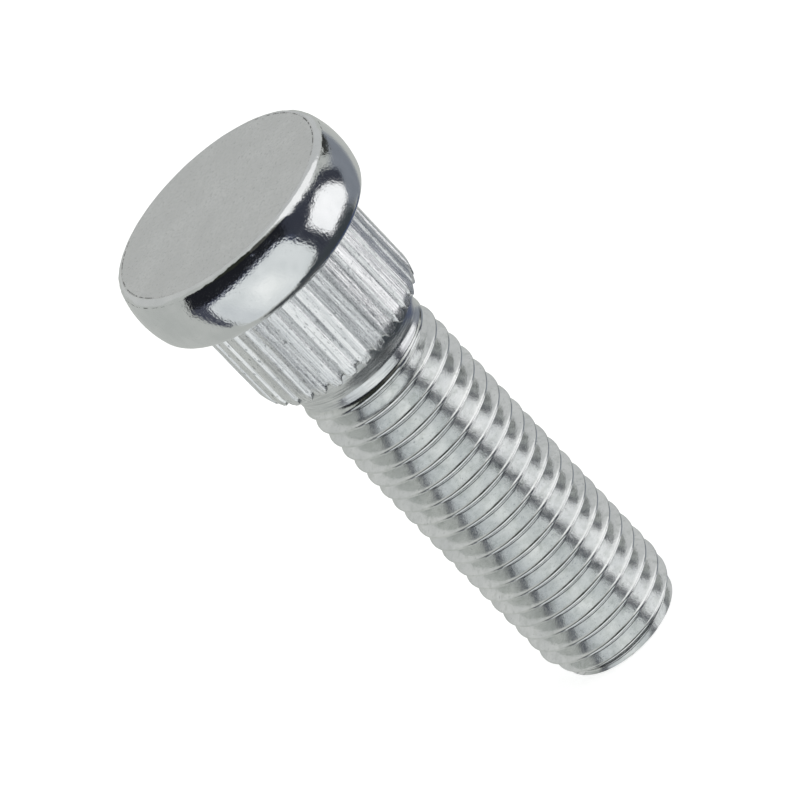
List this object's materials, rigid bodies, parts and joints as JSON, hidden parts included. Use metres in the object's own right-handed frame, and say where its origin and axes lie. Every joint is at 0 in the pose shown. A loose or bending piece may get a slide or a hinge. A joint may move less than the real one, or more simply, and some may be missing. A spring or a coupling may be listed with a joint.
{
  "type": "wheel stud",
  "caption": "Press-in steel stud with a flat round head, a straight-knurled shoulder and a fine right-hand thread that clamps a road wheel to its hub.",
  "frame": {"origin": "centre of the flat free end of the thread, on which the stud stands", "axes": "+Z along the stud's axis from the free end of the thread to the flat top of the head"},
  "size_m": [0.0196, 0.0196, 0.048],
  "materials": {
    "zinc_plating": "bright zinc plated cold forged steel, glossy on the head's side, satin on the knurl and the flat top"
  },
  "bodies": {
    "root": {"wheel_stud": "zinc_plating"}
  },
  "joints": []
}
